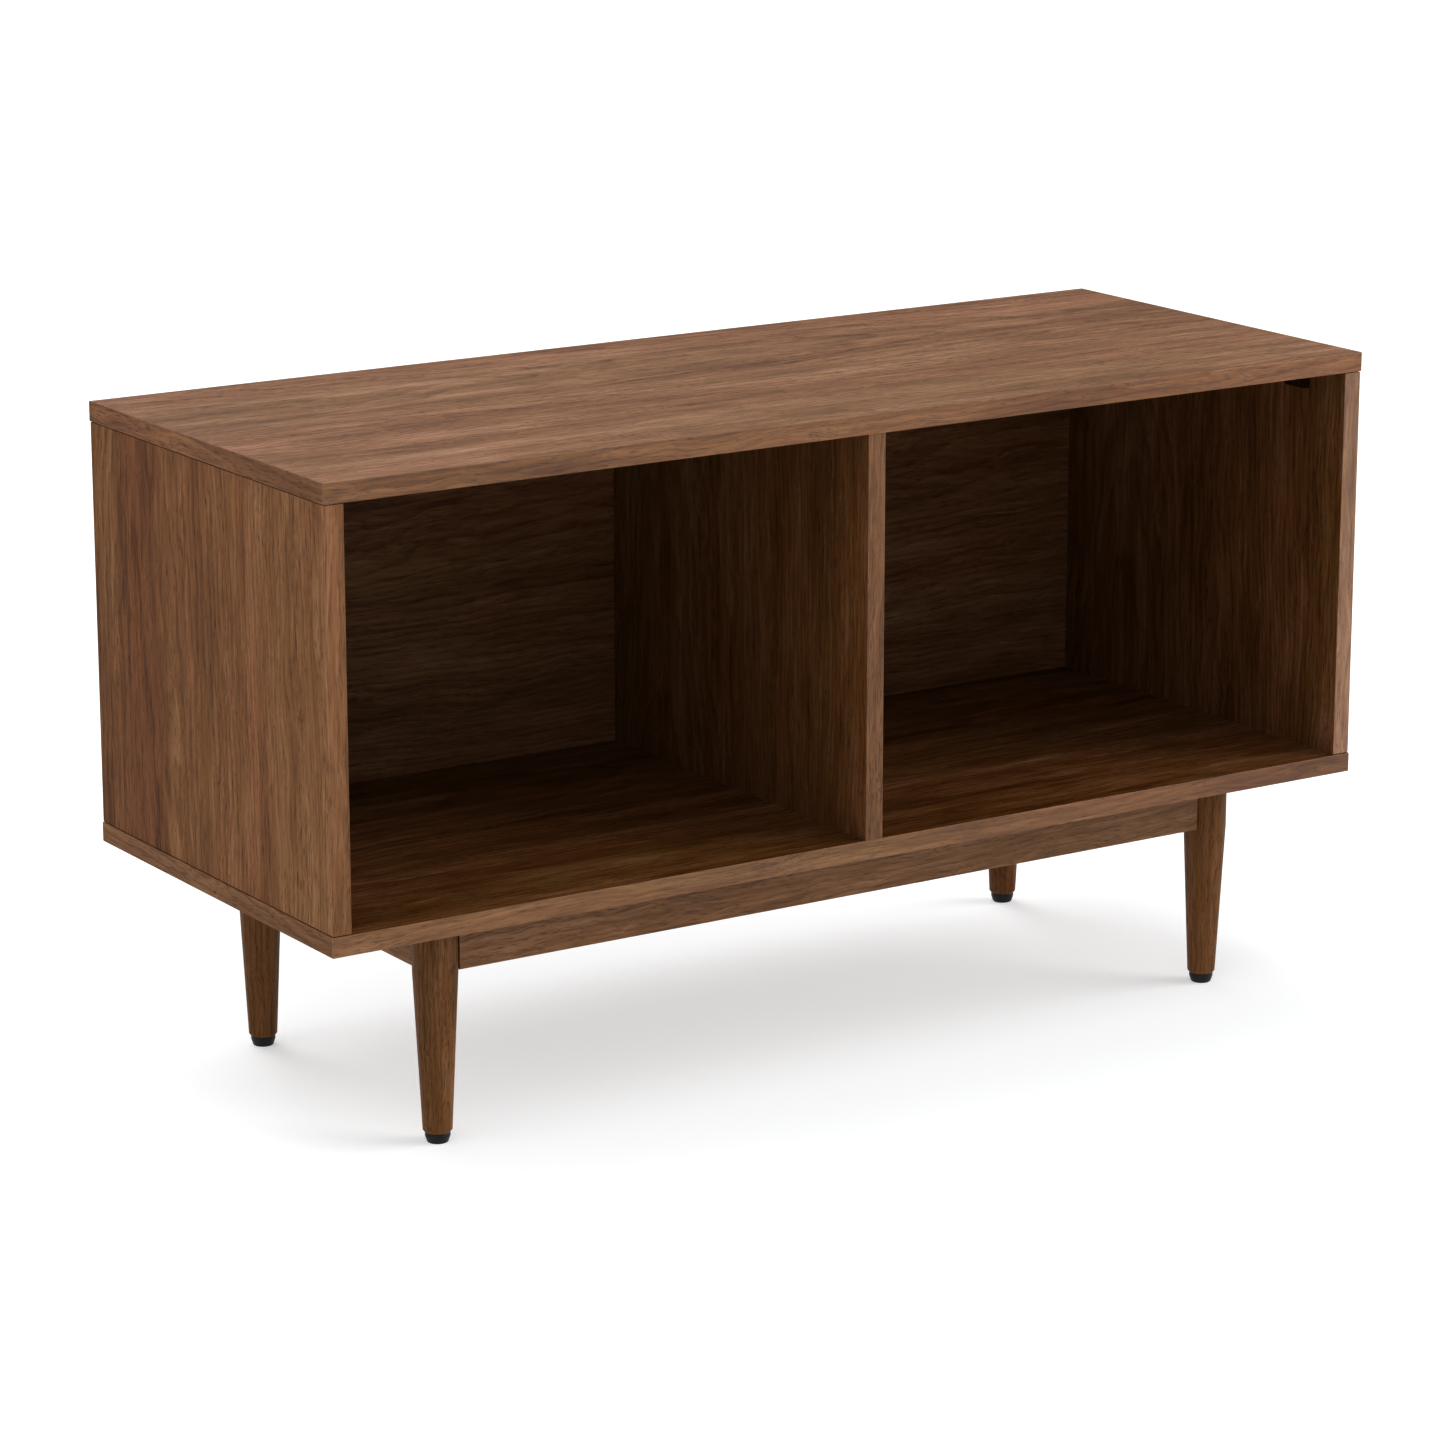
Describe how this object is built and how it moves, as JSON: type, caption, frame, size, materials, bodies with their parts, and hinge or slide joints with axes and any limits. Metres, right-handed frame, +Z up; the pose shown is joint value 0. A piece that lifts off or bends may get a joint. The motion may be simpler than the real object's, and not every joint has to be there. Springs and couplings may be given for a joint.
{
  "type": "open two-compartment storage cabinet",
  "caption": "Low open storage cabinet with a centre divider, on a base frame with round tapered legs and screw-adjustable levelling feet.",
  "frame": {"origin": "on the floor, below the middle of the cabinet's width and depth", "axes": "+X to the right along the width as seen from the open front, +Y to the rear, +Z up"},
  "size_m": [1.1, 0.43, 0.605],
  "materials": {
    "walnut_veneer": "walnut veneer, satin lacquer",
    "walnut_edge": "walnut edge band, satin lacquer",
    "back_veneer": "walnut veneer with level grain, matt lacquer",
    "walnut_solid": "solid walnut, satin lacquer",
    "beech": "bare fluted beech",
    "zinc_steel": "bright zinc-plated steel",
    "brass": "plain brass",
    "black_plastic": "matt black moulded plastic"
  },
  "bodies": {
    "root": {"apron_dowels": "beech", "back_panel": "back_veneer", "back_panel_screws": "zinc_steel", "bottom_dowels": "beech", "bottom_front_band": "walnut_edge", "bottom_left_band": "walnut_edge", "bottom_panel": "walnut_veneer", "bottom_rear_band": "walnut_edge", "bottom_right_band": "walnut_edge", "case_bracket_screws": "zinc_steel", "case_brackets": "zinc_steel", "case_screws": "zinc_steel", "centre_divider": "walnut_veneer", "centre_divider_front_band": "walnut_edge", "corner_block_screws": "zinc_steel", "corner_plate_screws": "zinc_steel", "front_apron": "walnut_solid", "front_left_corner_block": "black_plastic", "front_left_corner_plate": "zinc_steel", "front_left_leg": "walnut_solid", "front_right_corner_block": "black_plastic", "front_right_corner_plate": "zinc_steel", "front_right_leg": "walnut_solid", "left_apron": "walnut_solid", "left_side_front_band": "walnut_edge", "left_side_panel": "walnut_veneer", "leg_bolt_nuts": "zinc_steel", "leg_bolt_washers": "zinc_steel", "leg_bolts": "zinc_steel", "leg_inserts": "brass", "rear_apron": "walnut_solid", "rear_left_corner_block": "black_plastic", "rear_left_corner_plate": "zinc_steel", "rear_left_leg": "walnut_solid", "rear_right_corner_block": "black_plastic", "rear_right_corner_plate": "zinc_steel", "rear_right_leg": "walnut_solid", "right_apron": "walnut_solid", "right_side_front_band": "walnut_edge", "right_side_panel": "walnut_veneer", "top_dowels": "beech", "top_front_band": "walnut_edge", "top_left_band": "walnut_edge", "top_panel": "walnut_veneer", "top_rear_band": "walnut_edge", "top_right_band": "walnut_edge"},
    "front_left_stud": {"front_left_foot_stud": "zinc_steel"},
    "front_left_pad": {"front_left_foot_pad": "black_plastic"},
    "front_right_stud": {"front_right_foot_stud": "zinc_steel"},
    "front_right_pad": {"front_right_foot_pad": "black_plastic"},
    "rear_left_stud": {"rear_left_foot_stud": "zinc_steel"},
    "rear_left_pad": {"rear_left_foot_pad": "black_plastic"},
    "rear_right_stud": {"rear_right_foot_stud": "zinc_steel"},
    "rear_right_pad": {"rear_right_foot_pad": "black_plastic"}
  },
  "joints": [
    {"name": "front_left_foot_travel", "type": "slide", "parent": "root", "child": "front_left_stud", "axis": [0, 0, -1], "range_m": [0, 0.008]},
    {"name": "front_left_foot_turn", "type": "hinge", "parent": "front_left_stud", "child": "front_left_pad", "pos_m": [-0.421, -0.16, 0.005], "axis": [0, 0, -1], "range_deg": [0, 2304]},
    {"name": "front_right_foot_travel", "type": "slide", "parent": "root", "child": "front_right_stud", "axis": [0, 0, -1], "range_m": [0, 0.008]},
    {"name": "front_right_foot_turn", "type": "hinge", "parent": "front_right_stud", "child": "front_right_pad", "pos_m": [0.421, -0.16, 0.005], "axis": [0, 0, -1], "range_deg": [0, 2304]},
    {"name": "rear_left_foot_travel", "type": "slide", "parent": "root", "child": "rear_left_stud", "axis": [0, 0, -1], "range_m": [0, 0.008]},
    {"name": "rear_left_foot_turn", "type": "hinge", "parent": "rear_left_stud", "child": "rear_left_pad", "pos_m": [-0.421, 0.16, 0.005], "axis": [0, 0, -1], "range_deg": [0, 2304]},
    {"name": "rear_right_foot_travel", "type": "slide", "parent": "root", "child": "rear_right_stud", "axis": [0, 0, -1], "range_m": [0, 0.008]},
    {"name": "rear_right_foot_turn", "type": "hinge", "parent": "rear_right_stud", "child": "rear_right_pad", "pos_m": [0.421, 0.16, 0.005], "axis": [0, 0, -1], "range_deg": [0, 2304]}
  ],
  "couplings": [
    {"joint": "front_left_foot_travel", "follows": "front_left_foot_turn", "m_per_rad": 0.00019894},
    {"joint": "front_right_foot_travel", "follows": "front_right_foot_turn", "m_per_rad": 0.00019894},
    {"joint": "rear_left_foot_travel", "follows": "rear_left_foot_turn", "m_per_rad": 0.00019894},
    {"joint": "rear_right_foot_travel", "follows": "rear_right_foot_turn", "m_per_rad": 0.00019894}
  ]
}
